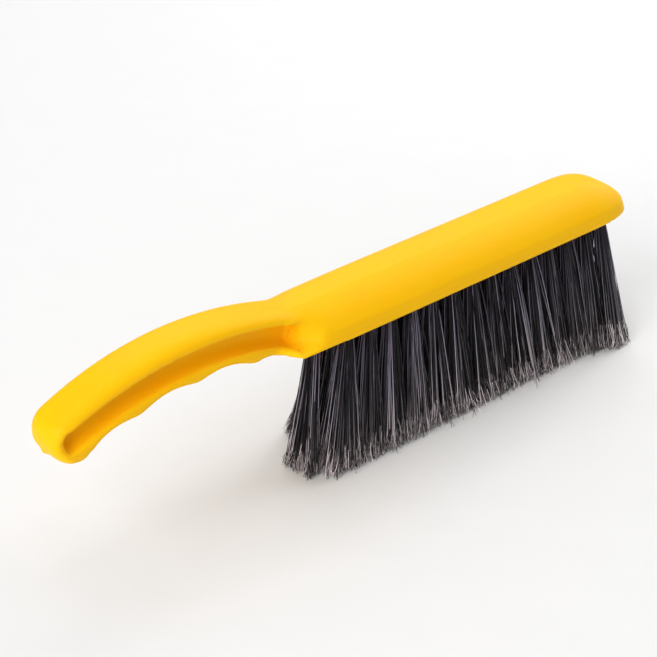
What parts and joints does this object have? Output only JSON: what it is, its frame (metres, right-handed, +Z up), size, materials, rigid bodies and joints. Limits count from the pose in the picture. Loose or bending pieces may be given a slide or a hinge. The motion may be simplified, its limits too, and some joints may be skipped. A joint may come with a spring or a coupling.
{
  "type": "counter brush",
  "caption": "Moulded counter brush with a finger-grooved handle in one piece with its block, and three rows of flared filament tufts trimmed flat.",
  "frame": {"origin": "under the middle of the whole brush, on the surface that the trimmed bristle tips stand on", "axes": "+X from the handle to the block's far end, +Y across the block, +Z up from the tips to the crown"},
  "size_m": [0.3168, 0.058, 0.0882],
  "materials": {
    "yellow_moulding": "fine satin, as moulded",
    "grey_filament": "dull, drawn filament with flagged tips"
  },
  "bodies": {
    "root": {"body": "yellow_moulding", "tuft_near_01": "grey_filament", "tuft_near_02": "grey_filament", "tuft_near_03": "grey_filament", "tuft_near_04": "grey_filament", "tuft_near_05": "grey_filament", "tuft_near_06": "grey_filament", "tuft_near_07": "grey_filament", "tuft_near_08": "grey_filament", "tuft_near_09": "grey_filament", "tuft_near_10": "grey_filament", "tuft_near_11": "grey_filament", "tuft_near_12": "grey_filament", "tuft_near_13": "grey_filament", "tuft_near_14": "grey_filament", "tuft_middle_01": "grey_filament", "tuft_middle_02": "grey_filament", "tuft_middle_03": "grey_filament", "tuft_middle_04": "grey_filament", "tuft_middle_05": "grey_filament", "tuft_middle_06": "grey_filament", "tuft_middle_07": "grey_filament", "tuft_middle_08": "grey_filament", "tuft_middle_09": "grey_filament", "tuft_middle_10": "grey_filament", "tuft_middle_11": "grey_filament", "tuft_middle_12": "grey_filament", "tuft_middle_13": "grey_filament", "tuft_middle_14": "grey_filament", "tuft_middle_15": "grey_filament", "tuft_far_01": "grey_filament", "tuft_far_02": "grey_filament", "tuft_far_03": "grey_filament", "tuft_far_04": "grey_filament", "tuft_far_05": "grey_filament", "tuft_far_06": "grey_filament", "tuft_far_07": "grey_filament", "tuft_far_08": "grey_filament", "tuft_far_09": "grey_filament", "tuft_far_10": "grey_filament", "tuft_far_11": "grey_filament", "tuft_far_12": "grey_filament", "tuft_far_13": "grey_filament", "tuft_far_14": "grey_filament"}
  },
  "joints": []
}
